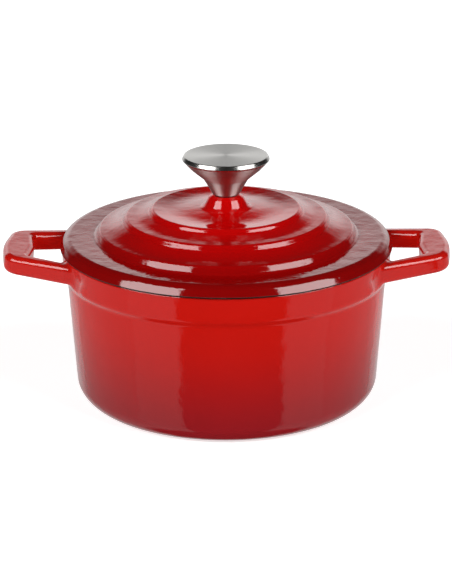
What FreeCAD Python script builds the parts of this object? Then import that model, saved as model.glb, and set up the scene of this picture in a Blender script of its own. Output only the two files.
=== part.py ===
import FreeCAD, Part
import math
import os

# Enamelled cast iron dutch oven with two loop handles, and a stepped lid that lifts off by a
# flared steel knob.  Millimetres.  The origin is the centre of the foot ring, on the surface that
# the pot stands on; +Z is up and the handles reach out along +X and -X.
#
# Every round piece is drawn as half a cross-section, (radius, height), and turned about Z.  An
# outline is a list of corners (radius, height, rounding); a rounding of 0 leaves the corner sharp.

V = FreeCAD.Vector

# ---- Driving dimensions ------------------------------------------------------------------------

ENAMEL = 0.4              # thickness of every enamel coat

# Bowl
RIM_R = 94.0              # outer radius of the rim band
RIM_Z = 89.0              # height of the ground rim that the lid rests on
RIM_ROUND = 1.4
BARE_SEAM = 0.6           # height of the bare iron on each side of the seam between pot and lid
BAND_FOOT_Z = 74.4        # where the rim band starts to narrow to the wall
BAND_DRAFT = 0.3          # the band is this much narrower at its foot
STEP_DROP = 3.0           # height over which the band narrows
STEP_ROUND = 4.5
WALL_TOP_R = 91.4         # outer radius of the wall just under the band
WALL_SLOPE = 0.0708       # outward lean of the wall, millimetres per millimetre of height
BASE_BEND_Z = 6.4         # height of the outer corner between base and wall
BASE_BEND_R = 12.0
BASE_EDGE_R = 80.5        # radius where the flat base meets the sloping corner
BASE_EDGE_ROUND = 10.4
MOUTH_ROUND = 1.2
WALL = 4.0                # iron and enamel together
FLOOR_Z = 5.6             # inner floor
FLOOR_ROUND = 11.0
FOOT_IN_R = 69.0          # inner radius of the foot ring
FOOT_HEIGHT = 1.2         # how far the foot ring stands below the base's centre
FOOT_LAND_OUT_R = 75.0    # outer radius of the foot ring's ground land

# Loop handles, drawn in plan for the +X handle
HANDLE_TIP_X = 128.5      # corner of the gently arched end, before rounding
HANDLE_CORNER = (125.2, 24.8)
HANDLE_ROOT = (80.0, 38.8)   # inside the bowl's wall
HANDLE_END_ROUND = 60.0
HANDLE_CORNER_ROUND = 11.0
WINDOW_ROOT = (80.0, 29.8)   # past the buried end, so that the loop is open towards the bowl
WINDOW_TIP = (112.2, 18.6)
WINDOW_BULGE_X = 110.4
WINDOW_CORNER_ROUND = 3.2
WINDOW_BULGE_ROUND = 20.0
HANDLE_THICK = 10.9
HANDLE_MID_Z = 81.7       # height of the handle's middle plane at the pivot of its tilt
HANDLE_PIVOT_X = 92.0
HANDLE_TILT = 5.5         # degrees, upward towards the tip
HANDLE_EDGE_ROUND = 3.6
HANDLE_KEEP_R = 90.6      # a handle is trimmed back to this radius, inside the band
JUNCTION_ROUND = 3.0      # hollow rounding where a handle runs into the band

# Lid
LID_R = 95.2
LID_SIDE_Z = 95.4         # height of the flange at its edge
LID_EDGE_ROUND = 0.4
LID_EDGE_LEAN = 3.3       # the flange's side leans in by this much over its height
FLANGE_CREST_ROUND = 5.2
# One ring: crest radius, crest height, foot radius, foot height, lowest point of the scoop inside
# the crest (radius, height) and the rounding of that scoop.
RINGS = (
    {"crest": (72.5, 99.55), "foot": (74.6, 95.1), "scoop": (65.6, 100.3), "scoop_round": 26.0},
    {"crest": (57.5, 106.45), "foot": (58.9, 103.2), "scoop": (50.4, 106.7), "scoop_round": 26.0},
    {"crest": (42.5, 111.05), "foot": (43.9, 108.2), "scoop": (29.0, 109.7), "scoop_round": 60.0},
)
CREST_ROUND = 2.0
RING_FOOT_ROUND = 2.2
BOSS_FOOT = (13.0, 111.2)
BOSS_FOOT_ROUND = 4.5
BOSS_SHOULDER = (9.6, 117.3)
BOSS_SHOULDER_ROUND = 2.0
BOSS_TOP_R = 7.6
BOSS_TOP_Z = 118.4
BOSS_TOP_ROUND = 0.6
SCREW_HOLE_R = 3.2
LIP_OUT_R = 86.6          # locating lip on the lid's underside
LIP_IN_R = 82.6
LIP_DROP = 3.2            # how far the lip hangs below the rim
LIP_ROUND = 1.4
LID_WALL = 4.4
COAT_SPLIT = (1.0, 1.3)   # from a ring's foot to the line between the upper and the lower enamel
UNDER_BOSS_Z = 108.6      # flat land for the washers, under the boss
UNDER_BOSS_R = 10.0

# Basting nubs, in rings on the lid's underside
NUB_RINGS = ((30.0, 8), (50.0, 12), (68.0, 16))
NUB_R = 2.6
NUB_DROP = 2.2            # how far a nub stands out from the underside

# Knob
KNOB_TOP_Z = 141.5
KNOB_FACE = (23.8, 141.5)  # edge of the flat face, before rounding
KNOB_FACE_ROUND = 0.6
KNOB_WIDE = (24.9, 139.2)  # widest corner, before rounding
KNOB_WIDE_ROUND = 0.7
KNOB_SEAT = (24.1, 138.4)  # outer edge of the joint between disc and shell
KNOB_BEND = (20.0, 134.0)
KNOB_BEND_ROUND = 6.0
KNOB_KINK = (12.9, 128.0)
KNOB_KINK_ROUND = 3.0
KNOB_BASE_R = 7.6
KNOB_BASE_ROUND = 1.2
KNOB_SHEET = 0.8          # wall of the shell
GASKET_R = 6.8
GASKET_THICK = 0.5
INSERT_R = 5.0
INSERT_TOP_Z = 131.0
THREAD_R = 3.0            # M6
SCREW_TIP_Z = 128.0
SCREW_HEAD_R = 5.6
SCREW_HEAD_THICK = 3.4
SCREW_DRIVE_DEPTH = 2.0
SCREW_DRIVE_WIDTH = 1.4
SCREW_DRIVE_SPAN = 6.4
FLAT_WASHER_R = 7.0
FLAT_WASHER_THICK = 1.2
LOCK_WASHER_R = 5.4
LOCK_WASHER_THICK = 1.4
LOCK_WASHER_GAP = 1.2
WASHER_HOLE_R = 3.2


# ---- Outlines ----------------------------------------------------------------------------------

def distance(a, b):
    return math.hypot(b[0] - a[0], b[1] - a[1])


def direction(a, b):
    """Unit vector from a to b."""
    length = distance(a, b)
    return (b[0] - a[0]) / length, (b[1] - a[1]) / length


def inset_corners(corners, inset):
    """Moves every side of a counter-clockwise outline inwards, and keeps its roundings parallel."""
    moved = []
    for index, (x, y, rounding) in enumerate(corners):
        before = corners[index - 1]
        after = corners[(index + 1) % len(corners)]
        d_in = direction(before, (x, y))
        d_out = direction((x, y), after)
        n_in = (-d_in[1], d_in[0])
        n_out = (-d_out[1], d_out[0])
        turn = d_in[0] * d_out[1] - d_in[1] * d_out[0]
        scale = inset / (1 + n_in[0] * n_out[0] + n_in[1] * n_out[1])
        new_rounding = rounding
        if rounding:
            new_rounding = rounding - inset if turn > 0 else rounding + inset
        moved.append((x + scale * (n_in[0] + n_out[0]), y + scale * (n_in[1] + n_out[1]), new_rounding))
    return moved


def rounded_wire(corners, place):
    """A closed wire through the corners, each rounded by an arc.  place turns (a, b) into a point."""
    starts, ends, middles = [], [], []
    for index, (x, y, rounding) in enumerate(corners):
        d_in = direction(corners[index - 1], (x, y))
        d_out = direction((x, y), corners[(index + 1) % len(corners)])
        if not rounding:
            starts.append((x, y))
            ends.append((x, y))
            middles.append(None)
            continue
        cosine = max(-1.0, min(1.0, d_in[0] * d_out[0] + d_in[1] * d_out[1]))
        half_turn = math.acos(cosine) / 2
        tangent = rounding * math.tan(half_turn)
        start = (x - tangent * d_in[0], y - tangent * d_in[1])
        end = (x + tangent * d_out[0], y + tangent * d_out[1])
        inward = direction((x, y), ((start[0] + end[0]) / 2, (start[1] + end[1]) / 2))
        depth = rounding / math.cos(half_turn) - rounding
        starts.append(start)
        ends.append(end)
        middles.append((x + depth * inward[0], y + depth * inward[1]))
    edges = []
    for index in range(len(corners)):
        if middles[index]:
            arc = Part.Arc(place(*starts[index]), place(*middles[index]), place(*ends[index]))
            edges.append(arc.toShape())
        follower = starts[(index + 1) % len(corners)]
        if distance(ends[index], follower) > 1e-6:
            edges.append(Part.makeLine(place(*ends[index]), place(*follower)))
    return Part.Wire(edges)


def section(corners):
    """A flat cross-section in the XZ plane."""
    return Part.Face(rounded_wire(corners, lambda r, z: V(r, 0, z)))


def block(r_low, r_high, z_low, z_high):
    """A rectangular piece of cross-section."""
    return section([(r_low, z_low, 0), (r_high, z_low, 0), (r_high, z_high, 0), (r_low, z_high, 0)])


def turned(face):
    """The solid that a cross-section sweeps about Z."""
    return face.revolve(V(0, 0, 0), V(0, 0, 1), 360)


def cylinder(radius, z_low, z_high, x=0.0, y=0.0):
    return Part.makeCylinder(radius, z_high - z_low, V(x, y, z_low))


# ---- Bowl --------------------------------------------------------------------------------------

def wall_radius(z):
    """Outer radius of the wall below the rim band."""
    return WALL_TOP_R - (BAND_FOOT_Z - STEP_DROP - z) * WALL_SLOPE


def bowl_corners():
    """Counter-clockwise outline of the bowl, iron and enamel together."""
    floor_r = wall_radius(FLOOR_Z) - WALL
    mouth_r = wall_radius(RIM_Z) - WALL
    return [
        (0, FOOT_HEIGHT, 0),
        (FOOT_IN_R - FOOT_HEIGHT, FOOT_HEIGHT, 1.0),
        (FOOT_IN_R, 0, 0.6),
        (BASE_EDGE_R, 0, BASE_EDGE_ROUND),
        (wall_radius(BASE_BEND_Z), BASE_BEND_Z, BASE_BEND_R),
        (WALL_TOP_R, BAND_FOOT_Z - STEP_DROP, STEP_ROUND),
        (RIM_R - BAND_DRAFT, BAND_FOOT_Z, STEP_ROUND),
        (RIM_R, RIM_Z, RIM_ROUND),
        (mouth_r, RIM_Z, MOUTH_ROUND),
        (floor_r, FLOOR_Z, FLOOR_ROUND),
        (0, FLOOR_Z, 0),
    ]


def coated_iron_section():
    """Cross-section of the iron as it would be with enamel all over it."""
    coated = inset_corners(bowl_corners(), ENAMEL)
    coated[0] = (0, coated[0][1], 0)
    coated[-1] = (0, coated[-1][1], 0)
    return section(coated)


def bare_places():
    """Rings that hold the places where the iron is bare instead: the rim and the foot ring's land."""
    mouth_r = wall_radius(RIM_Z) - WALL
    rim = block(mouth_r + MOUTH_ROUND, RIM_R + 1, RIM_Z - BARE_SEAM, RIM_Z + 1)
    foot = block(FOOT_IN_R + 0.6, FOOT_LAND_OUT_R, -1, 2 * ENAMEL)
    return [turned(rim), turned(foot)]


def bowl_inside():
    """A solid that holds the whole inner enamel and none of the outer enamel."""
    low_z = FLOOR_Z - 2 * ENAMEL
    bend_z = FLOOR_Z + FLOOR_ROUND / 2
    return turned(section([
        (0, low_z, 0),
        (wall_radius(FLOOR_Z) - WALL, low_z, 0),
        (wall_radius(bend_z) - WALL / 2, bend_z, 0),
        (wall_radius(RIM_Z) - WALL / 2, RIM_Z + 1, 0),
        (0, RIM_Z + 1, 0),
    ]))


# ---- Loop handles ------------------------------------------------------------------------------

def mirrored(corners):
    """Adds the same corners on the other side of the X axis, in order round the outline."""
    return corners + [(x, -y, rounding) for x, y, rounding in reversed(corners) if y]


def handle_outline():
    """Counter-clockwise outer outline of the +X handle in plan."""
    upper = [
        (HANDLE_TIP_X, 0, HANDLE_END_ROUND),
        HANDLE_CORNER + (HANDLE_CORNER_ROUND,),
        HANDLE_ROOT + (0,),
    ]
    return mirrored(upper)


def window_outline():
    """Counter-clockwise outline of the finger window in plan."""
    upper = [
        (WINDOW_BULGE_X, 0, WINDOW_BULGE_ROUND),
        WINDOW_TIP + (WINDOW_CORNER_ROUND,),
        WINDOW_ROOT + (0,),
    ]
    return mirrored(upper)


def prism(corners, thickness):
    """A plate of the outline, centred on the XY plane."""
    wire = rounded_wire(corners, lambda x, y: V(x, y, -thickness / 2))
    return Part.Face(wire).extrude(V(0, 0, thickness))


def flat_rims(plate, thickness):
    """The edges along the top and the bottom face of a plate, apart from its buried end."""
    return [
        edge for edge in plate.Edges
        if all(abs(abs(v.Z) - thickness / 2) < 1e-6 for v in edge.Vertexes)
        and edge.BoundBox.XMax > HANDLE_ROOT[0] + 2 * ENAMEL
    ]


def handle(inset):
    """The +X handle; inset shrinks it on every side, which leaves room for the enamel."""
    thickness = HANDLE_THICK - 2 * inset
    rounding = HANDLE_EDGE_ROUND - inset
    plate = prism(inset_corners(handle_outline(), inset), thickness)
    window = prism(inset_corners(window_outline(), -inset), thickness)
    loop = plate.cut(window)
    loop = loop.makeFillet(rounding, flat_rims(loop, thickness))
    loop.translate(V(-HANDLE_PIVOT_X, 0, 0))
    loop.rotate(V(0, 0, 0), V(0, 1, 0), -HANDLE_TILT)
    loop.translate(V(HANDLE_PIVOT_X, 0, HANDLE_MID_Z))
    return loop.cut(cylinder(HANDLE_KEEP_R, 0, RIM_Z * 2))


def junction_edges(joined, one, other):
    """The edges of a joined solid that lie on the skins of both solids that it was joined from."""
    found = []
    for edge in joined.Edges:
        middle = Part.Vertex(edge.valueAt((edge.FirstParameter + edge.LastParameter) / 2))
        if all(skin.distToShape(middle)[0] < 1e-4 for skin in (one.Shells[0], other.Shells[0])):
            found.append(edge)
    return found


def bowl_with_handles(bowl, inset):
    """Joins both handles to a bowl and rounds the hollow corners between them."""
    right = handle(inset).Solids[0]
    left = right.copy()
    left.rotate(V(0, 0, 0), V(0, 0, 1), 180)
    for grip in (right, left):
        joined = bowl.fuse(grip).removeSplitter().Solids[0]
        bowl = joined.makeFillet(JUNCTION_ROUND + inset, junction_edges(joined, bowl, grip)).Solids[0]
    return bowl


def pot_pieces():
    iron = bowl_with_handles(turned(coated_iron_section()), ENAMEL)
    coat = bowl_with_handles(turned(section(bowl_corners())), 0).cut(iron)
    bare = []
    for place in bare_places():
        bare.append(coat.common(place))
        coat = coat.cut(place)
    return {
        "pot_casting": iron.fuse(bare).removeSplitter().Solids[0],
        "pot_outer_enamel": coat.cut(bowl_inside()),
        "pot_inner_enamel": coat.common(bowl_inside()),
    }


# ---- Lid ---------------------------------------------------------------------------------------

def lid_top_corners():
    """Outline of the lid's upper side, from the flange's edge to the screw hole."""
    corners = [
        (LID_R, RIM_Z, LID_EDGE_ROUND),
        (LID_R - LID_EDGE_LEAN, LID_SIDE_Z, FLANGE_CREST_ROUND),
    ]
    for ring in RINGS:
        corners.append(ring["foot"] + (RING_FOOT_ROUND,))
        corners.append(ring["crest"] + (CREST_ROUND,))
        corners.append(ring["scoop"] + (ring["scoop_round"],))
    corners += [
        BOSS_FOOT + (BOSS_FOOT_ROUND,),
        BOSS_SHOULDER + (BOSS_SHOULDER_ROUND,),
        (BOSS_TOP_R, BOSS_TOP_Z, BOSS_TOP_ROUND),
    ]
    return corners


def lid_under_corners():
    """Outline of the lid's underside, from the screw hole to the rim seat."""
    return [
        (SCREW_HOLE_R, UNDER_BOSS_Z, 0),
        (UNDER_BOSS_R, UNDER_BOSS_Z, 1.5),
        (UNDER_BOSS_R + 4.0, RINGS[2]["scoop"][1] - LID_WALL, 2.0),
        (RINGS[2]["crest"][0] - 4.0, RINGS[2]["scoop"][1] - LID_WALL, 5.0),
        (RINGS[1]["crest"][0] - 4.0, RINGS[1]["scoop"][1] - LID_WALL - 1.4, 8.0),
        (RINGS[0]["crest"][0] - 3.0, RINGS[0]["scoop"][1] - LID_WALL - 2.2, 6.0),
        (LIP_IN_R, RIM_Z + 1.4, 3.0),
        (LIP_IN_R, RIM_Z - LIP_DROP, LIP_ROUND),
        (LIP_OUT_R, RIM_Z - LIP_DROP, LIP_ROUND),
        (LIP_OUT_R, RIM_Z, 0),
    ]


def lid_section():
    """Cross-section of the lid, iron and enamel together."""
    return section(lid_corners())


def lid_corners():
    return lid_top_corners() + [(SCREW_HOLE_R, BOSS_TOP_Z, 0)] + lid_under_corners()


def iron_lid_section():
    """Cross-section of the iron, which is bare on the rim seat, beside it and in the screw hole."""
    bare_seat = section(lid_corners()).common(block(LIP_OUT_R - 2 * ENAMEL, LID_R, RIM_Z, RIM_Z + BARE_SEAM))
    bare_lip = block(LIP_OUT_R - 2 * ENAMEL, LIP_OUT_R, RIM_Z - LIP_DROP + LIP_ROUND, RIM_Z + ENAMEL)
    bare_hole = block(SCREW_HOLE_R, SCREW_HOLE_R + 2 * ENAMEL, UNDER_BOSS_Z, BOSS_TOP_Z)
    coated = section(inset_corners(lid_corners(), ENAMEL))
    return coated.fuse([bare_seat, bare_lip, bare_hole]).removeSplitter()


def lid_upper_side():
    """A solid that holds the whole upper enamel of the lid and none of the lower enamel."""
    across, down = COAT_SPLIT
    under = [(radius - across, height - down, 0) for radius, height in (ring["foot"] for ring in RINGS)]
    seat_mid_r = (LIP_OUT_R + LID_R) / 2
    return turned(section(
        [(seat_mid_r, RIM_Z, 0), (LID_R + 1, RIM_Z, 0), (LID_R + 1, BOSS_TOP_Z + 1, 0)]
        + [(0, BOSS_TOP_Z + 1, 0), (0, (UNDER_BOSS_Z + BOSS_TOP_Z) / 2, 0)]
        + [(BOSS_FOOT[0], BOSS_FOOT[1] - 2 * ENAMEL - down, 0)]
        + under[::-1]
        + [(seat_mid_r, (RIM_Z + LID_SIDE_Z) / 2, 0)]
    ))


def underside_height(radius):
    """Height of the lid's underside, inside the lip, at a radius."""
    line = lid_under_corners()
    for (r_low, z_low, _), (r_high, z_high, _) in zip(line, line[1:]):
        if r_low <= radius < r_high:
            return z_low + (z_high - z_low) * (radius - r_low) / (r_high - r_low)
    raise ValueError(f"no underside at radius {radius}")


def nubs(inset):
    """The basting nubs: parts of spheres that stand out of the lid's underside."""
    sphere_r = (NUB_R ** 2 + NUB_DROP ** 2) / (2 * NUB_DROP)
    solids = []
    for ring_r, count in NUB_RINGS:
        centre_z = underside_height(ring_r) - NUB_DROP + sphere_r
        for number in range(count):
            angle = 2 * math.pi * number / count
            centre = V(ring_r * math.cos(angle), ring_r * math.sin(angle), centre_z)
            solids.append(Part.makeSphere(sphere_r - inset, centre))
    return solids


def lid_pieces():
    iron = turned(iron_lid_section()).fuse(nubs(ENAMEL))
    coat = turned(lid_section()).fuse(nubs(0)).cut(iron)
    return {
        "lid_casting": iron,
        "lid_outer_enamel": coat.common(lid_upper_side()),
        "lid_inner_enamel": coat.cut(lid_upper_side()),
    }


# ---- Knob and its fixing -----------------------------------------------------------------------

def knob_shell():
    base_z = BOSS_TOP_Z + GASKET_THICK
    seat_r, seat_z = KNOB_SEAT
    outside = [
        (INSERT_R, base_z, 0),
        (KNOB_BASE_R, base_z, KNOB_BASE_ROUND),
        KNOB_KINK + (KNOB_KINK_ROUND,),
        KNOB_BEND + (KNOB_BEND_ROUND,),
        (seat_r, seat_z, 0),
    ]
    inside = [
        (seat_r - 2 * KNOB_SHEET, seat_z, 0),
        (KNOB_BEND[0] - KNOB_SHEET, KNOB_BEND[1] + KNOB_SHEET, KNOB_BEND_ROUND - KNOB_SHEET),
        (KNOB_KINK[0] - KNOB_SHEET, KNOB_KINK[1] + KNOB_SHEET / 2, KNOB_KINK_ROUND),
        (KNOB_BASE_R - KNOB_SHEET, base_z + KNOB_SHEET, KNOB_SHEET / 2),
        (INSERT_R, base_z + KNOB_SHEET, 0),
    ]
    return turned(section(outside + inside))


def knob_top_disc():
    seat_r, seat_z = KNOB_SEAT
    return turned(section([
        (0, seat_z, 0),
        (seat_r, seat_z, 0),
        KNOB_WIDE + (KNOB_WIDE_ROUND,),
        KNOB_FACE + (KNOB_FACE_ROUND,),
        (0, KNOB_TOP_Z, 0),
    ]))


def ring(r_in, r_out, z_low, z_high):
    return turned(block(r_in, r_out, z_low, z_high))


def knob_screw(head_z):
    """M6 pan head screw with a cross recess; head_z is the height of the head's bearing face."""
    low_z = head_z - SCREW_HEAD_THICK
    body = turned(section([
        (0, low_z, 0),
        (SCREW_HEAD_R, low_z, 2.0),
        (SCREW_HEAD_R, head_z, 0),
        (THREAD_R, head_z, 0),
        (THREAD_R, SCREW_TIP_Z, 0.6),
        (0, SCREW_TIP_Z, 0),
    ]))
    slot = Part.makeBox(SCREW_DRIVE_SPAN, SCREW_DRIVE_WIDTH, SCREW_DRIVE_DEPTH,
                        V(-SCREW_DRIVE_SPAN / 2, -SCREW_DRIVE_WIDTH / 2, low_z))
    other = slot.copy()
    other.rotate(V(0, 0, 0), V(0, 0, 1), 90)
    return body.cut([slot, other])


def lock_washer(z_low, z_high):
    """Split spring washer, drawn flat as it is when tightened."""
    gap = Part.makeBox(LOCK_WASHER_R, LOCK_WASHER_GAP, z_high - z_low,
                       V(0, -LOCK_WASHER_GAP / 2, z_low))
    return ring(WASHER_HOLE_R, LOCK_WASHER_R, z_low, z_high).cut(gap)


def knob_pieces():
    base_z = BOSS_TOP_Z + GASKET_THICK
    flat_low_z = UNDER_BOSS_Z - FLAT_WASHER_THICK
    lock_low_z = flat_low_z - LOCK_WASHER_THICK
    return {
        "knob_shell": knob_shell(),
        "knob_top_disc": knob_top_disc(),
        "knob_insert": ring(THREAD_R, INSERT_R, base_z, INSERT_TOP_Z),
        "knob_gasket": ring(WASHER_HOLE_R, GASKET_R, BOSS_TOP_Z, base_z),
        "knob_screw": knob_screw(lock_low_z),
        "knob_flat_washer": ring(WASHER_HOLE_R, FLAT_WASHER_R, flat_low_z, UNDER_BOSS_Z),
        "knob_lock_washer": lock_washer(lock_low_z, flat_low_z),
    }


# ---- Output ------------------------------------------------------------------------------------

def main():
    os.makedirs("parts", exist_ok=True)
    pieces = {}
    pieces.update(pot_pieces())
    pieces.update(lid_pieces())
    pieces.update(knob_pieces())
    for name, shape in pieces.items():
        shape.exportStep("parts/" + name + ".step")
        box = shape.BoundBox
        print(f"{name:18} solids {len(shape.Solids)} valid {shape.isValid()} volume {shape.Volume:10.1f} "
              f"x {box.XMin:7.1f} {box.XMax:6.1f} z {box.ZMin:6.1f} {box.ZMax:6.1f}")


main()
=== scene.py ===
import math

import bpy
import numpy as np
from mathutils import Matrix, Vector


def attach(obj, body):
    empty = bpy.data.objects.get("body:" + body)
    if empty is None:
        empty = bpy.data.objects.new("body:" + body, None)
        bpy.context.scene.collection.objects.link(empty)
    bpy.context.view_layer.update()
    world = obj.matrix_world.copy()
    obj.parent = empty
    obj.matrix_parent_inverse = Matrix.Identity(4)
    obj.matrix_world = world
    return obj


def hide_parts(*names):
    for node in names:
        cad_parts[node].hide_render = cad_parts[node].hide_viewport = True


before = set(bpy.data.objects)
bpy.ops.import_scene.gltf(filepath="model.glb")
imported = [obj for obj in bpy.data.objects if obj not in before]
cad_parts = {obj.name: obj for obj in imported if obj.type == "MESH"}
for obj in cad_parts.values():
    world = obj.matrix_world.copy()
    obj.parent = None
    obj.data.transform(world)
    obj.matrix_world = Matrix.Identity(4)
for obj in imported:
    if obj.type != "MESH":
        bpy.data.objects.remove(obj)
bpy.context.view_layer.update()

# An enamelled cast iron dutch oven.  The CAD nodes are kept, and the enamel coats get exact
# normals from the same outlines as the CAD model.  Only the two turned pieces of the steel knob
# are made here, as finer meshes.  Outlines are in millimetres, as in the CAD model.

MM = 0.001

# ---- Driving dimensions (the CAD model's) ------------------------------------------------------

RIM_R = 94.0
RIM_Z = 89.0
RIM_ROUND = 1.4
BAND_FOOT_Z = 74.4
BAND_DRAFT = 0.3
STEP_DROP = 3.0
STEP_ROUND = 4.5
WALL_TOP_R = 91.4
WALL_SLOPE = 0.0708
BASE_BEND_Z = 6.4
BASE_BEND_R = 12.0
BASE_EDGE_R = 80.5
BASE_EDGE_ROUND = 10.4
WALL = 4.0
FLOOR_Z = 5.6
FLOOR_ROUND = 11.0
MOUTH_ROUND = 1.2
FOOT_IN_R = 69.0
FOOT_HEIGHT = 1.2
FOOT_ROOT_ROUND = 1.0
FOOT_EDGE_ROUND = 0.6

HANDLE_TIP_X = 128.5
HANDLE_CORNER = (125.2, 24.8)
HANDLE_ROOT = (80.0, 38.8)
HANDLE_END_ROUND = 60.0
HANDLE_CORNER_ROUND = 11.0
WINDOW_ROOT = (80.0, 29.8)
WINDOW_TIP = (112.2, 18.6)
WINDOW_BULGE_X = 110.4
WINDOW_CORNER_ROUND = 3.2
WINDOW_BULGE_ROUND = 20.0
HANDLE_THICK = 10.9
HANDLE_MID_Z = 81.7
HANDLE_PIVOT_X = 92.0
HANDLE_TILT = math.radians(5.5)
HANDLE_EDGE_ROUND = 3.6
JUNCTION_ROUND = 3.0

LID_R = 95.2
LID_SIDE_Z = 95.4
LID_EDGE_ROUND = 0.4
LID_EDGE_LEAN = 3.3
FLANGE_CREST_ROUND = 5.2
RINGS = (
    {"crest": (72.5, 99.55), "foot": (74.6, 95.1), "scoop": (65.6, 100.3), "scoop_round": 26.0},
    {"crest": (57.5, 106.45), "foot": (58.9, 103.2), "scoop": (50.4, 106.7), "scoop_round": 26.0},
    {"crest": (42.5, 111.05), "foot": (43.9, 108.2), "scoop": (29.0, 109.7), "scoop_round": 60.0},
)
CREST_ROUND = 2.0
RING_FOOT_ROUND = 2.2
BOSS_FOOT = (13.0, 111.2)
BOSS_FOOT_ROUND = 4.5
BOSS_SHOULDER = (9.6, 117.3)
BOSS_SHOULDER_ROUND = 2.0
BOSS_TOP_R = 7.6
BOSS_TOP_Z = 118.4
BOSS_TOP_ROUND = 0.6
SCREW_HOLE_R = 3.2
LIP_OUT_R = 86.6
UNDER_BOSS_Z = 108.6

KNOB_TOP_Z = 141.5
KNOB_FACE = (23.8, 141.5)
KNOB_FACE_ROUND = 0.6
KNOB_WIDE = (24.9, 139.2)
KNOB_WIDE_ROUND = 0.7
KNOB_SEAT = (24.1, 138.4)
KNOB_BEND = (20.0, 134.0)
KNOB_BEND_ROUND = 6.0
KNOB_KINK = (12.9, 128.0)
KNOB_KINK_ROUND = 3.0
KNOB_BASE_R = 7.6
KNOB_BASE_ROUND = 1.2
KNOB_SHEET = 0.8
GASKET_THICK = 0.5
INSERT_R = 5.0

# ---- Looks --------------------------------------------------------------------------------------

ENAMEL_WAVE = 0.0002     # metres, height of the slow waves in the glaze
LINING_WAVE = 0.00014    # the same in the pale lining
PEEL_SHARE = 0.25        # height of the fine orange peel against the slow waves
PIT_SHARE = 0.1          # depth of the pits against the slow waves
PIT_EDGE = (0.12, 0.04)  # outer and inner edge of a pit, as a share of the space between pits
ENAMEL_ROUGHNESS = 0.035
ENAMEL_BLOTCH = 0.05     # how much rougher the dullest places are
ENAMEL_IOR = 1.5
CLOUD_SHADE = 0.10       # unevenness of a coat's colour, coarse and fine
SPECK_SHADE = 0.08
IRON_RELIEF = 0.00012    # metres
RUBBER_RELIEF = 0.00003
# Sizes of patterns: how many waves fit in a metre.
WAVE_SCALE = 95.0
PEEL_SCALE = 420.0
PIT_SCALE = 260.0
BLOTCH_SCALE = 60.0
CLOUD_SCALE = 38.0
SPECK_SCALE = 1400.0
IRON_GRAIN_SCALE = 900.0
IRON_PATCH_SCALE = 120.0
GROOVE_SCALE = 9000.0
RUBBER_GRAIN_SCALE = 1500.0
FLOOR_GRAIN_SCALE = 300.0
POT_OMBRE = (
    (0.0, (0.18, 0.008, 0.012)),
    (0.30, (0.27, 0.007, 0.008)),
    (0.62, (0.43, 0.006, 0.003)),
    (1.0, (0.46, 0.006, 0.003)),
)
LID_OMBRE = (
    (0.0, (0.50, 0.001, 0.001)),
    (0.45, (0.47, 0.001, 0.001)),
    (0.72, (0.34, 0.001, 0.001)),
    (0.86, (0.22, 0.001, 0.001)),
    (1.0, (0.19, 0.001, 0.001)),
)
CREAM_SHADES = (
    (0.0, (0.66, 0.58, 0.45)),
    (0.25, (0.72, 0.65, 0.52)),
    (1.0, (0.76, 0.70, 0.58)),
)
IRON_SHADES = (
    (0.25, (0.016, 0.013, 0.013)),
    (0.6, (0.045, 0.038, 0.037)),
    (0.85, (0.22, 0.20, 0.19)),
)
RUBBER_SHADES = ((0.3, (0.012, 0.012, 0.012)), (0.8, (0.03, 0.03, 0.03)))
FLOOR_SHADES = ((0.0, (0.80, 0.80, 0.80)), (1.0, (0.84, 0.84, 0.84)))
SATIN_COLOR = (0.60, 0.56, 0.54)
BRUSHED_COLOR = (0.50, 0.49, 0.47)
PLAIN_COLOR = (0.50, 0.50, 0.49)
POLISH_BEYOND = KNOB_FACE[0] - 0.4    # the disc's bevelled edge is polished, and has no grooves
POLISH_BLEND = 0.15
POLISH_GAIN = 0.15       # how much smoother the polished edge is
BRUSHING_TURN = 0.25     # a quarter turn: the gleam spreads across the grooves
FLOOR_GLOW = 0.62
FLOOR_REACH = 3.0        # metres from the middle to each side
FLOOR_DROP = 0.0002      # metres below the foot, so that the two faces don't meet
ROOM_GLOW = 0.02
# Lights: from and to in turn, softness, from and to in rise, softness, brightness.
LIGHTS = (
    (-78.0, -34.0, 1.5, 20.0, 46.0, 1.5, 8.0),
    (38.0, 82.0, 1.5, 20.0, 46.0, 1.5, 8.0),
    (-73.0, -35.5, 1.5, -60.0, 0.0, 2.0, 0.5),
    (43.0, 79.0, 1.5, -60.0, 0.0, 2.0, 0.5),
    (-137.0, -73.0, 3.0, -60.0, -4.0, 4.0, 0.42),
    (79.0, 137.0, 3.0, -60.0, -4.0, 4.0, 0.42),
    (-200.0, -138.0, 6.0, -60.0, 0.0, 3.0, 0.65),
    (138.0, 200.0, 6.0, -60.0, 0.0, 3.0, 0.65),
    (-200.0, -148.0, 12.0, 0.0, 20.5, 7.0, 1.35),
    (148.0, 200.0, 12.0, 0.0, 20.5, 7.0, 1.35),
)

# ---- Camera, in metres and degrees -------------------------------------------------------------

CAMERA_LENS = 138.85
CAMERA_AIM_Z = 0.05933
CAMERA_AWAY = 1.3
CAMERA_RISE = 19.51
CAMERA_ROLL = -0.29
CAMERA_SIDE = -0.00032
CLIP_START = 0.01

# ---- Mesh density and edges --------------------------------------------------------------------

SHELL_STEPS = (0.2, 0.8)     # millimetres along a rounding, and along a straight stretch
DISC_STEPS = (0.08, 1.5)
TURN_STEPS = 288             # faces round a turned piece
ARC_STEPS = 3                # fewest faces along a rounding
ARC_TURN = 9                 # most degrees that one of them turns
CAD_EDGE = 30                # degrees between two faces that make a sharp edge in a CAD node
PIECE_EDGE = 35              # the same in a piece made here
NORMAL_LIMIT = 35            # most degrees between a face and its exact normal
TINY = 1e-9
NEAR = 1e-6                  # millimetres; points that are closer are one point


# ---- Outlines: lists of corners (a, b, rounding) -----------------------------------------------

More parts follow.
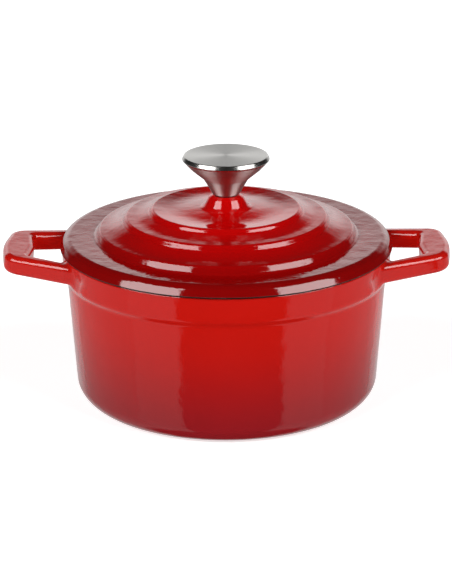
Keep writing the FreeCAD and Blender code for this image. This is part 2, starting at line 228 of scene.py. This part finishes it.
def stretches(corners):
    """The straight and round stretches of a closed outline, in order.

    A straight stretch is ("line", start, end); a round one is
    ("arc", centre, radius, first angle, sweep), with a positive sweep counter-clockwise."""
    points = [np.array(corner[:2], float) for corner in corners]
    count = len(points)
    found = []
    pen = None
    first = None
    for index, corner in enumerate(corners):
        here = points[index]
        if not corner[2]:
            start = end = here
            arc = None
        else:
            d_in = unit(here - points[index - 1])
            d_out = unit(points[(index + 1) % count] - here)
            turn = math.atan2(d_in[0] * d_out[1] - d_in[1] * d_out[0], float(d_in @ d_out))
            reach = corner[2] * math.tan(abs(turn) / 2)
            start = here - reach * d_in
            end = here + reach * d_out
            side = math.copysign(1.0, turn)
            centre = start + side * corner[2] * np.array((-d_in[1], d_in[0]))
            out = start - centre
            arc = ("arc", centre, corner[2], math.atan2(out[1], out[0]), turn)
        if pen is not None and np.linalg.norm(start - pen) > NEAR:
            found.append(("line", pen, start))
        if arc:
            found.append(arc)
        pen = end
        if first is None:
            first = start
    if np.linalg.norm(first - pen) > NEAR:
        found.append(("line", pen, first))
    return found


def unit(vector):
    return vector / np.linalg.norm(vector)


def sampled(parts, fine, coarse):
    """Points along stretches: close together on the round ones, further apart on the straight."""
    points = []
    for part in parts:
        if part[0] == "line":
            _, start, end = part
            steps = max(1, round(np.linalg.norm(end - start) / coarse))
            points += [start + (end - start) * k / steps for k in range(steps)]
        else:
            _, centre, radius, angle, sweep = part
            by_length = math.ceil(abs(sweep) * radius / fine)
            by_turn = math.ceil(abs(sweep) / math.radians(ARC_TURN))
            steps = max(ARC_STEPS, by_length, by_turn)
            for k in range(steps):
                a = angle + sweep * k / steps
                points.append(centre + radius * np.array((math.cos(a), math.sin(a))))
    return np.array(points)


def nearest_on(parts, points):
    """Signed distance from a smooth counter-clockwise outline, and its outward normal, at points."""
    best = np.full(len(points), np.inf)
    signed = np.zeros(len(points))
    normal = np.zeros((len(points), 2))
    for part in parts:
        if part[0] == "line":
            _, start, end = part
            along = end - start
            t = np.clip((points - start) @ along / (along @ along), 0, 1)
            foot = start + t[:, None] * along
            out = np.tile(unit(np.array((along[1], -along[0]))), (len(points), 1))
        else:
            _, centre, radius, angle, sweep = part
            side = math.copysign(1.0, sweep)
            ray = points - centre
            turned = (np.arctan2(ray[:, 1], ray[:, 0]) - angle) * side
            turned = (turned + math.pi - abs(sweep) / 2) % (2 * math.pi) - math.pi + abs(sweep) / 2
            a = angle + side * np.clip(turned, 0, abs(sweep))
            out = np.stack((np.cos(a), np.sin(a)), 1)
            foot = centre + radius * out
            out = out * side
        gap = points - foot
        distance = np.linalg.norm(gap, axis=1)
        closer = distance < best
        best[closer] = distance[closer]
        signed[closer] = np.einsum("ij,ij->i", gap, out)[closer]
        normal[closer] = out[closer]
    return signed, normal


# ---- Meshes ------------------------------------------------------------------------------------

def piece(name, vertices, faces, body, node):
    """A mesh object, from millimetres, that rides on a body in place of a CAD node."""
    mesh = bpy.data.meshes.new(name)
    mesh.from_pydata((np.asarray(vertices) * MM).tolist(), [], faces)
    mesh.polygons.foreach_set("use_smooth", [True] * len(mesh.polygons))
    mesh.update()
    made = bpy.data.objects.new(name, mesh)
    bpy.context.scene.collection.objects.link(made)
    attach(made, body)
    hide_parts(node)
    return made


def turned_mesh(outline):
    """Vertices and faces of a closed outline (radius, height) turned about Z."""
    angles = np.linspace(0, 2 * math.pi, TURN_STEPS, endpoint=False)
    count, around = len(outline), len(angles)
    on_axis = outline[:, 0] < NEAR
    ring = np.zeros((count, around), int)
    vertices = []
    for i, (radius, height) in enumerate(outline):
        if on_axis[i]:
            ring[i, :] = len(vertices)
            vertices.append((0.0, 0.0, height))
        else:
            ring[i, :] = range(len(vertices), len(vertices) + around)
            vertices += [(radius * math.cos(a), radius * math.sin(a), height) for a in angles]
    faces = []
    for i in range(count):
        k = (i + 1) % count
        if on_axis[i] and on_axis[k]:
            continue
        for j in range(around):
            m = (j + 1) % around
            if on_axis[i]:
                faces.append((ring[i, j], ring[k, m], ring[k, j]))
            elif on_axis[k]:
                faces.append((ring[i, j], ring[i, m], ring[k, j]))
            else:
                faces.append((ring[i, j], ring[i, m], ring[k, m], ring[k, j]))
    return vertices, [tuple(int(v) for v in face) for face in faces]


def turned_piece(name, corners, body, node, steps):
    """A turned piece with smooth roundings and sharp corners."""
    outline = sampled(stretches(corners), *steps)
    vertices, faces = turned_mesh(outline)
    made = piece(name, vertices, faces, body, node)
    made.data.set_sharp_from_angle(angle=math.radians(PIECE_EDGE))
    return made


# ---- Bowl and handles: outlines, and distance from their surface --------------------------------

def wall_radius(z):
    """Outer radius of the wall below the rim band."""
    return WALL_TOP_R - (BAND_FOOT_Z - STEP_DROP - z) * WALL_SLOPE


def bowl_corners():
    """Counter-clockwise outline of the bowl, iron and enamel together."""
    floor_r = wall_radius(FLOOR_Z) - WALL
    mouth_r = wall_radius(RIM_Z) - WALL
    return [
        (0, FOOT_HEIGHT, 0),
        (FOOT_IN_R - FOOT_HEIGHT, FOOT_HEIGHT, FOOT_ROOT_ROUND),
        (FOOT_IN_R, 0, FOOT_EDGE_ROUND),
        (BASE_EDGE_R, 0, BASE_EDGE_ROUND),
        (wall_radius(BASE_BEND_Z), BASE_BEND_Z, BASE_BEND_R),
        (WALL_TOP_R, BAND_FOOT_Z - STEP_DROP, STEP_ROUND),
        (RIM_R - BAND_DRAFT, BAND_FOOT_Z, STEP_ROUND),
        (RIM_R, RIM_Z, RIM_ROUND),
        (mouth_r, RIM_Z, MOUTH_ROUND),
        (floor_r, FLOOR_Z, FLOOR_ROUND),
        (0, FLOOR_Z, 0),
    ]


def mirrored(corners):
    """Adds the same corners on the other side of the X axis, in order round the outline."""
    return corners + [(x, -y, rounding) for x, y, rounding in reversed(corners) if y]


def handle_corners():
    """Outer outline of the +X handle in plan."""
    return mirrored([
        (HANDLE_TIP_X, 0, HANDLE_END_ROUND),
        HANDLE_CORNER + (HANDLE_CORNER_ROUND,),
        HANDLE_ROOT + (0,),
    ])


def window_corners():
    """Outline of the finger window in plan."""
    return mirrored([
        (WINDOW_BULGE_X, 0, WINDOW_BULGE_ROUND),
        WINDOW_TIP + (WINDOW_CORNER_ROUND,),
        WINDOW_ROOT + (0,),
    ])


BOWL_OUTLINE = stretches(bowl_corners())
HANDLE_OUTLINE = stretches(handle_corners())
WINDOW_OUTLINE = stretches(window_corners())


def turned_distance(parts, points):
    """Signed distance from a turned outline, and its gradient, at points."""
    radius = np.hypot(points[:, 0], points[:, 1])
    signed, normal = nearest_on(parts, np.stack((radius, points[:, 2]), 1))
    across = normal[:, 0] / np.maximum(radius, TINY)
    return signed, np.stack((points[:, 0] * across, points[:, 1] * across, normal[:, 1]), 1)


def bowl_distance(points):
    return turned_distance(BOWL_OUTLINE, points)


def tilted(points, side, angle):
    """Turns points about the pivot of a handle's tilt; side is 1 for the +X handle, -1 for -X."""
    pivot = np.array((side * HANDLE_PIVOT_X, 0, HANDLE_MID_Z))
    return turned_by(points - pivot, -side * angle) + pivot


def turned_by(vectors, angle):
    """Turns vectors about the Y axis."""
    c, s = math.cos(angle), math.sin(angle)
    x, y, z = np.asarray(vectors).T
    return np.stack((c * x + s * z, y, c * z - s * x), 1)


def handle_distance(points, side):
    """Signed distance from a handle's surface, and its gradient."""
    flat = tilted(points, side, -HANDLE_TILT)
    plan = np.stack((side * flat[:, 0], flat[:, 1]), 1)
    outer, outer_normal = nearest_on(HANDLE_OUTLINE, plan)
    window, window_normal = nearest_on(WINDOW_OUTLINE, plan)
    in_window = -window > outer
    plan_distance = np.where(in_window, -window, outer)
    plan_normal = np.where(in_window[:, None], -window_normal, outer_normal)
    height = flat[:, 2] - HANDLE_MID_Z
    across = plan_distance + HANDLE_EDGE_ROUND
    up = np.abs(height) - HANDLE_THICK / 2 + HANDLE_EDGE_ROUND
    far = np.hypot(np.maximum(across, 0), np.maximum(up, 0))
    signed = np.minimum(np.maximum(across, up), 0) + far - HANDLE_EDGE_ROUND
    both = (across > 0) & (up > 0)
    share_across = np.where(both, across / np.maximum(far, TINY), across >= up)
    share_up = np.where(both, up / np.maximum(far, TINY), across < up)
    gradient = np.stack((
        side * share_across * plan_normal[:, 0],
        share_across * plan_normal[:, 1],
        share_up * np.sign(height),
    ), 1)
    return signed, turned_by(gradient, -side * HANDLE_TILT)


def pot_distance(points):
    """Signed distance from bowl and handles with rounded hollow corners between, and its gradient."""
    signed, gradient = bowl_distance(points)
    for side in (1, -1):
        other, other_gradient = handle_distance(points, side)
        a = np.maximum(JUNCTION_ROUND - signed, 0)
        b = np.maximum(JUNCTION_ROUND - other, 0)
        far = np.hypot(a, b)
        nearer = np.minimum(signed, other)
        blended = (a > 0) & (b > 0)
        joined = np.where(
            blended[:, None],
            (a[:, None] * gradient + b[:, None] * other_gradient) / np.maximum(far, TINY)[:, None],
            np.where((signed < other)[:, None], gradient, other_gradient),
        )
        signed = np.where(blended, JUNCTION_ROUND - far, nearer)
        gradient = joined
    return signed, gradient


# ---- Exact normals for CAD nodes ----------------------------------------------------------------

def true_normals(node, distance_at):
    """Gives a CAD node the exact normals of its smooth surface, except where it has a real edge."""
    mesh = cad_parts[node].data
    mesh.set_sharp_from_angle(angle=math.radians(CAD_EDGE))
    places = np.zeros(len(mesh.vertices) * 3)
    mesh.vertices.foreach_get("co", places)
    _, exact = distance_at(places.reshape(-1, 3) / MM)
    corner_vertex = np.zeros(len(mesh.loops), int)
    mesh.loops.foreach_get("vertex_index", corner_vertex)
    corners = np.zeros(len(mesh.loops) * 3)
    mesh.corner_normals.foreach_get("vector", corners)
    corners = corners.reshape(-1, 3)
    faces = np.zeros(len(mesh.polygons) * 3)
    mesh.polygons.foreach_get("normal", faces)
    sizes = np.zeros(len(mesh.polygons), int)
    mesh.polygons.foreach_get("loop_total", sizes)
    flat = np.repeat(faces.reshape(-1, 3), sizes, axis=0)
    exact = exact[corner_vertex]
    exact /= np.maximum(np.linalg.norm(exact, axis=1), TINY)[:, None]
    smooth = np.einsum("ij,ij->i", exact, flat) > math.cos(math.radians(NORMAL_LIMIT))
    mesh.normals_split_custom_set(np.where(smooth[:, None], exact, corners).tolist())


# ---- Lid and knob outlines ----------------------------------------------------------------------

def lid_corners():
    """Outline of the lid's upper side, closed below by the screw hole and a straight underside."""
    corners = [
        (LID_R, RIM_Z, LID_EDGE_ROUND),
        (LID_R - LID_EDGE_LEAN, LID_SIDE_Z, FLANGE_CREST_ROUND),
    ]
    for ring in RINGS:
        corners.append(ring["foot"] + (RING_FOOT_ROUND,))
        corners.append(ring["crest"] + (CREST_ROUND,))
        corners.append(ring["scoop"] + (ring["scoop_round"],))
    corners += [
        BOSS_FOOT + (BOSS_FOOT_ROUND,),
        BOSS_SHOULDER + (BOSS_SHOULDER_ROUND,),
        (BOSS_TOP_R, BOSS_TOP_Z, BOSS_TOP_ROUND),
        (SCREW_HOLE_R, BOSS_TOP_Z, 0),
        (SCREW_HOLE_R, UNDER_BOSS_Z, 0),
        (LIP_OUT_R, RIM_Z, 0),
    ]
    return corners


LID_OUTLINE = stretches(lid_corners())


def lid_distance(points):
    return turned_distance(LID_OUTLINE, points)


def knob_shell_corners():
    base_z = BOSS_TOP_Z + GASKET_THICK
    seat_r, seat_z = KNOB_SEAT
    return [
        (INSERT_R, base_z, 0),
        (KNOB_BASE_R, base_z, KNOB_BASE_ROUND),
        KNOB_KINK + (KNOB_KINK_ROUND,),
        KNOB_BEND + (KNOB_BEND_ROUND,),
        (seat_r, seat_z, 0),
        (seat_r - 2 * KNOB_SHEET, seat_z, 0),
        (KNOB_BEND[0] - KNOB_SHEET, KNOB_BEND[1] + KNOB_SHEET, KNOB_BEND_ROUND - KNOB_SHEET),
        (KNOB_KINK[0] - KNOB_SHEET, KNOB_KINK[1] + KNOB_SHEET / 2, KNOB_KINK_ROUND),
        (KNOB_BASE_R - KNOB_SHEET, base_z + KNOB_SHEET, KNOB_SHEET / 2),
        (INSERT_R, base_z + KNOB_SHEET, 0),
    ]


def knob_disc_corners():
    seat_r, seat_z = KNOB_SEAT
    return [
        (0, seat_z, 0),
        (seat_r, seat_z, 0),
        KNOB_WIDE + (KNOB_WIDE_ROUND,),
        KNOB_FACE + (KNOB_FACE_ROUND,),
        (0, KNOB_TOP_Z, 0),
    ]


# ---- Node materials -----------------------------------------------------------------------------

class Graph:
    """Short ways to build a node tree; values are numbers, tuples or sockets."""

    def __init__(self, tree):
        self.tree = tree
        tree.nodes.clear()

    def node(self, kind, inputs=None, **settings):
        made = self.tree.nodes.new("ShaderNode" + kind)
        for name, value in settings.items():
            setattr(made, name, value)
        for name, value in (inputs or {}).items():
            self.put(made.inputs[name], value)
        return made

    def put(self, socket, value):
        if isinstance(value, bpy.types.NodeSocket):
            self.tree.links.new(value, socket)
        else:
            socket.default_value = value

    def math(self, operation, *values, clamp=False):
        made = self.node("Math", operation=operation, use_clamp=clamp)
        for socket, value in zip(made.inputs, values):
            self.put(socket, value)
        return made.outputs[0]

    def step(self, value, low, high):
        """0 below low and 1 above high, and smooth between; falls instead if low is over high."""
        rising = low < high
        inputs = {
            "Value": value,
            "From Min": min(low, high),
            "From Max": max(low, high),
            "To Min": 0.0 if rising else 1.0,
            "To Max": 1.0 if rising else 0.0,
        }
        made = self.node("MapRange", inputs, interpolation_type="SMOOTHSTEP")
        return made.outputs["Result"]

    def window(self, value, low, high, soft):
        """1 between low and high, with soft edges."""
        return self.math("MULTIPLY", self.step(value, low - soft, low + soft),
                         self.step(value, high + soft, high - soft))

    def ramp(self, value, stops, interpolation="EASE"):
        """A colour that goes through stops of (place, colour) as value rises from 0 to 1."""
        made = self.node("ValToRGB", {"Fac": value})
        made.color_ramp.interpolation = interpolation
        elements = made.color_ramp.elements
        while len(elements) < len(stops):
            elements.new(0.5)
        for element, (place, color) in zip(elements, stops):
            element.position = place
            element.color = (*color, 1.0)
        return made.outputs["Color"]

    def noise(self, vector, scale, detail=2.0, roughness=0.5):
        made = self.node("TexNoise", {
            "Vector": vector,
            "Scale": scale,
            "Detail": detail,
            "Roughness": roughness,
        })
        return made.outputs["Fac"]

    def bump(self, height, depth, normal=None):
        made = self.node("Bump", {"Height": height, "Distance": depth, "Strength": 1.0})
        if normal:
            self.put(made.inputs["Normal"], normal)
        return made.outputs["Normal"]


def material(name):
    made = bpy.data.materials.new(name)
    made.use_nodes = True
    graph = Graph(made.node_tree)
    shader = graph.node("BsdfPrincipled")
    output = graph.node("OutputMaterial")
    graph.put(output.inputs["Surface"], shader.outputs["BSDF"])
    place = graph.node("TexCoord").outputs["Object"]
    return made, graph, shader, place


def polar(graph, place):
    """Radius, height and angle of a place in the object's own space."""
    parts = graph.node("SeparateXYZ", {"Vector": place}).outputs
    squares = graph.math("ADD", graph.math("MULTIPLY", parts["X"], parts["X"]),
                         graph.math("MULTIPLY", parts["Y"], parts["Y"]))
    return graph.math("SQRT", squares), parts["Z"], graph.math("ARCTAN2", parts["Y"], parts["X"])


def enamel(name, color_of, wave):
    """Glossy glass enamel with a slight orange peel; color_of(graph, place) gives its colour."""
    made, graph, shader, place = material(name)
    graph.put(shader.inputs["Base Color"], color_of(graph, place))
    blotch = graph.noise(place, BLOTCH_SCALE, detail=3.0)
    rough = graph.math("MULTIPLY_ADD", blotch, ENAMEL_BLOTCH, ENAMEL_ROUGHNESS)
    graph.put(shader.inputs["Roughness"], rough)
    shader.inputs["IOR"].default_value = ENAMEL_IOR
    waves = graph.noise(place, WAVE_SCALE, detail=1.0)
    peel = graph.noise(place, PEEL_SCALE, detail=1.5)
    pits = graph.node("TexVoronoi", {"Vector": place, "Scale": PIT_SCALE}).outputs["Distance"]
    pit = graph.step(pits, *PIT_EDGE)
    relief = graph.bump(waves, wave)
    relief = graph.bump(peel, wave * PEEL_SHARE, relief)
    relief = graph.bump(pit, -wave * PIT_SHARE, relief)
    graph.put(shader.inputs["Normal"], relief)
    return made


def pot_red(graph, place):
    """The ombre: bright red at the rim and darker red at the foot."""
    _, height, _ = polar(graph, place)
    level = graph.math("DIVIDE", height, RIM_Z * MM)
    return speckled(graph, place, graph.ramp(level, POT_OMBRE, "B_SPLINE"))


def lid_red(graph, place):
    """The ombre: bright red in the middle and darker red at the edge."""
    radius, _, _ = polar(graph, place)
    level = graph.math("DIVIDE", radius, LID_R * MM)
    return speckled(graph, place, graph.ramp(level, LID_OMBRE, "B_SPLINE"))


def speckled(graph, place, color):
    """Slight unevenness of a sprayed coat."""
    cloud = graph.noise(place, CLOUD_SCALE, detail=4.0, roughness=0.6)
    speck = graph.noise(place, SPECK_SCALE)
    shade = graph.math("MULTIPLY_ADD", cloud, CLOUD_SHADE, 1.0 - CLOUD_SHADE / 2)
    shade = graph.math("MULTIPLY_ADD", speck, SPECK_SHADE, graph.math("SUBTRACT", shade, SPECK_SHADE / 2))
    scaled = graph.node("VectorMath", {0: color}, operation="SCALE")
    graph.put(scaled.inputs["Scale"], shade)
    return scaled.outputs[0]


def cream(graph, place):
    """Cream lining, a little darker towards the floor."""
    _, height, _ = polar(graph, place)
    level = graph.math("DIVIDE", height, RIM_Z * MM)
    return speckled(graph, place, graph.ramp(level, CREAM_SHADES))


def bare_iron():
    """Dark ground iron with a coarse grain and bright specks."""
    made, graph, shader, place = material("bare_iron")
    grain = graph.noise(place, IRON_GRAIN_SCALE, detail=5.0, roughness=0.7)
    patch = graph.noise(place, IRON_PATCH_SCALE, detail=3.0)
    tone = graph.math("MULTIPLY_ADD", patch, 0.6, graph.math("MULTIPLY", grain, 0.5))
    graph.put(shader.inputs["Base Color"], graph.ramp(tone, IRON_SHADES))
    shader.inputs["Metallic"].default_value = 0.75
    graph.put(shader.inputs["Roughness"], graph.math("MULTIPLY_ADD", grain, 0.35, 0.35))
    graph.put(shader.inputs["Normal"], graph.bump(grain, IRON_RELIEF))
    return made


def steel(name, base, roughness, ring_depth, streak, anisotropy, polish_beyond=None):
    """Turned stainless steel: fine rings about the axis and soft streaks, with an edge polished smooth
    beyond a radius in millimetres where one is given."""
    made, graph, shader, place = material(name)
    radius, height, angle = polar(graph, place)
    rings = graph.node("CombineXYZ", {
        "X": graph.math("MULTIPLY", radius, GROOVE_SCALE),
        "Y": graph.math("MULTIPLY", height, GROOVE_SCALE),
        "Z": graph.math("MULTIPLY", angle, 1.5),
    }).outputs[0]
    groove = graph.noise(rings, scale=1.0)
    spokes = graph.node("CombineXYZ", {
        "X": graph.math("MULTIPLY", graph.math("COSINE", angle), 14.0),
        "Y": graph.math("MULTIPLY", graph.math("SINE", angle), 14.0),
        "Z": graph.math("MULTIPLY", radius, 30.0),
    }).outputs[0]
    spoke = graph.noise(spokes, scale=1.0, detail=3.0)
    tone = graph.math("MULTIPLY_ADD", spoke, streak, 1.0 - streak / 2)
    scaled = graph.node("VectorMath", {0: base}, operation="SCALE")
    graph.put(scaled.inputs["Scale"], tone)
    graph.put(shader.inputs["Base Color"], scaled.outputs[0])
    shader.inputs["Metallic"].default_value = 1.0
    rough = graph.math("MULTIPLY_ADD", groove, 0.10, roughness - 0.05)
    shader.inputs["Anisotropic"].default_value = anisotropy
    shader.inputs["Anisotropic Rotation"].default_value = BRUSHING_TURN
    tangent = graph.node("Tangent", direction_type="RADIAL", axis="Z")
    graph.put(shader.inputs["Tangent"], tangent.outputs[0])
    if polish_beyond:
        polished = graph.step(radius, polish_beyond * MM, (polish_beyond + POLISH_BLEND) * MM)
        rough = graph.math("MULTIPLY", rough, graph.math("MULTIPLY_ADD", polished, -POLISH_GAIN, 1.0))
        groove = graph.math("MULTIPLY", groove, graph.math("SUBTRACT", 1.0, polished))
    graph.put(shader.inputs["Roughness"], rough)
    graph.put(shader.inputs["Normal"], graph.bump(groove, ring_depth))
    return made


def gasket_rubber():
    made, graph, shader, place = material("gasket")
    grain = graph.noise(place, RUBBER_GRAIN_SCALE, detail=3.0)
    graph.put(shader.inputs["Base Color"], graph.ramp(grain, RUBBER_SHADES))
    graph.put(shader.inputs["Roughness"], graph.math("MULTIPLY_ADD", grain, 0.2, 0.55))
    graph.put(shader.inputs["Normal"], graph.bump(grain, RUBBER_RELIEF))
    return made


def dress(thing, surface):
    """Gives every face of an object one material."""
    thing.data.materials.clear()
    thing.data.materials.append(surface)
    thing.data.polygons.foreach_set("material_index", [0] * len(thing.data.polygons))


# ---- Build ---------------------------------------------------------------------------------------

red_pot = enamel("red_enamel_pot", pot_red, ENAMEL_WAVE)
red_lid = enamel("red_enamel_lid", lid_red, ENAMEL_WAVE)
lining = enamel("cream_enamel", cream, LINING_WAVE)
iron = bare_iron()
satin = steel("satin_steel", SATIN_COLOR, roughness=0.46, ring_depth=0.000012, streak=0.06, anisotropy=0.95)
brushed = steel("brushed_steel", BRUSHED_COLOR, roughness=0.30, ring_depth=0.000010, streak=0.10,
                anisotropy=0.6, polish_beyond=POLISH_BEYOND)
plain = steel("plain_steel", PLAIN_COLOR, roughness=0.32, ring_depth=0.000008, streak=0.05, anisotropy=0.3)
rubber = gasket_rubber()

true_normals("pot_outer_enamel", pot_distance)
true_normals("pot_casting", pot_distance)
true_normals("pot_inner_enamel", bowl_distance)
true_normals("lid_outer_enamel", lid_distance)

shell = turned_piece("knob_shell_fine", knob_shell_corners(), "lid", "knob_shell",
                     SHELL_STEPS)
disc = turned_piece("knob_disc_fine", knob_disc_corners(), "lid", "knob_top_disc",
                    DISC_STEPS)
dress(shell, satin)
dress(disc, brushed)

exact_nodes = {
    "pot_outer_enamel": red_pot,
    "pot_inner_enamel": lining,
    "pot_casting": iron,
    "lid_outer_enamel": red_lid,
}
plain_nodes = {
    "lid_inner_enamel": lining,
    "lid_casting": iron,
    "knob_insert": plain,
    "knob_gasket": rubber,
    "knob_screw": plain,
    "knob_flat_washer": plain,
    "knob_lock_washer": plain,
}
for node_name, surface in (exact_nodes | plain_nodes).items():
    dress(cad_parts[node_name], surface)
for node_name in plain_nodes:
    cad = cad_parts[node_name].data
    cad.polygons.foreach_set("use_smooth", [True] * len(cad.polygons))
    cad.set_sharp_from_angle(angle=math.radians(CAD_EDGE))


# ---- Floor ---------------------------------------------------------------------------------------

def floor_white():
    made, graph, shader, place = material("floor_white")
    grain = graph.noise(place, FLOOR_GRAIN_SCALE)
    graph.put(shader.inputs["Base Color"], graph.ramp(grain, FLOOR_SHADES))
    shader.inputs["Roughness"].default_value = 0.9
    shader.inputs["Specular IOR Level"].default_value = 0.0
    shader.inputs["Emission Color"].default_value = (1.0, 1.0, 1.0, 1.0)
    shader.inputs["Emission Strength"].default_value = FLOOR_GLOW
    return made


floor_mesh = bpy.data.meshes.new("floor")
floor_corners = [(x * FLOOR_REACH, y * FLOOR_REACH, 0) for x, y in ((-1, -1), (1, -1), (1, 1), (-1, 1))]
floor_mesh.from_pydata(floor_corners, [], [(0, 1, 2, 3)])
floor = bpy.data.objects.new("floor", floor_mesh)
bpy.context.scene.collection.objects.link(floor)
floor.location.z = -FLOOR_DROP
dress(floor, floor_white())
floor.visible_glossy = False


# ---- Studio light --------------------------------------------------------------------------------

def studio():
    """A white room with a dark front and two large softboxes, as a function of direction.

    Turn is the direction's angle from the front, and rise its angle above the horizon, in degrees."""
    world = bpy.data.worlds.new("studio")
    world.use_nodes = True
    graph = Graph(world.node_tree)
    place = graph.node("TexCoord").outputs["Generated"]
    parts = graph.node("SeparateXYZ", {"Vector": place}).outputs
    full = 180 / math.pi
    front = graph.math("MULTIPLY", parts["Y"], -1.0)
    turn = graph.math("MULTIPLY", graph.math("ARCTAN2", parts["X"], front), full)
    rise = graph.math("MULTIPLY", graph.math("ARCSINE", parts["Z"]), full)
    total = None
    for low, high, soft, bottom, top, rise_soft, glow in LIGHTS:
        across = graph.window(turn, low, high, soft)
        up = graph.window(rise, bottom, top, rise_soft)
        layer = graph.math("MULTIPLY", graph.math("MULTIPLY", across, up), glow)
        total = layer if total is None else graph.math("ADD", total, layer)
    total = graph.math("ADD", total, ROOM_GLOW)
    seen = graph.node("LightPath").outputs["Is Camera Ray"]
    strength = graph.math("ADD", graph.math("MULTIPLY", total, graph.math("SUBTRACT", 1.0, seen)), seen)
    light = graph.node("Background", {"Color": (1.0, 1.0, 1.0, 1.0), "Strength": strength})
    output = graph.node("OutputWorld")
    graph.put(output.inputs["Surface"], light.outputs[0])
    bpy.context.scene.world = world


studio()


# ---- Camera --------------------------------------------------------------------------------------

camera_data = bpy.data.cameras.new("camera")
camera_data.lens = CAMERA_LENS
camera_data.clip_start = CLIP_START
camera = bpy.data.objects.new("camera", camera_data)
bpy.context.scene.collection.objects.link(camera)
aim = Vector((CAMERA_SIDE, 0, CAMERA_AIM_Z))
rise = math.radians(CAMERA_RISE)
place = aim + CAMERA_AWAY * Vector((0, -math.cos(rise), math.sin(rise)))
look = (aim - place).to_track_quat("-Z", "Y").to_matrix().to_4x4()
camera.matrix_world = Matrix.Translation(place) @ look @ Matrix.Rotation(math.radians(CAMERA_ROLL), 4, "Z")
bpy.context.scene.camera = camera
bpy.context.scene.view_settings.view_transform = "Standard"
bpy.context.scene.view_settings.look = "None"
bpy.context.scene.cycles.use_denoising = True
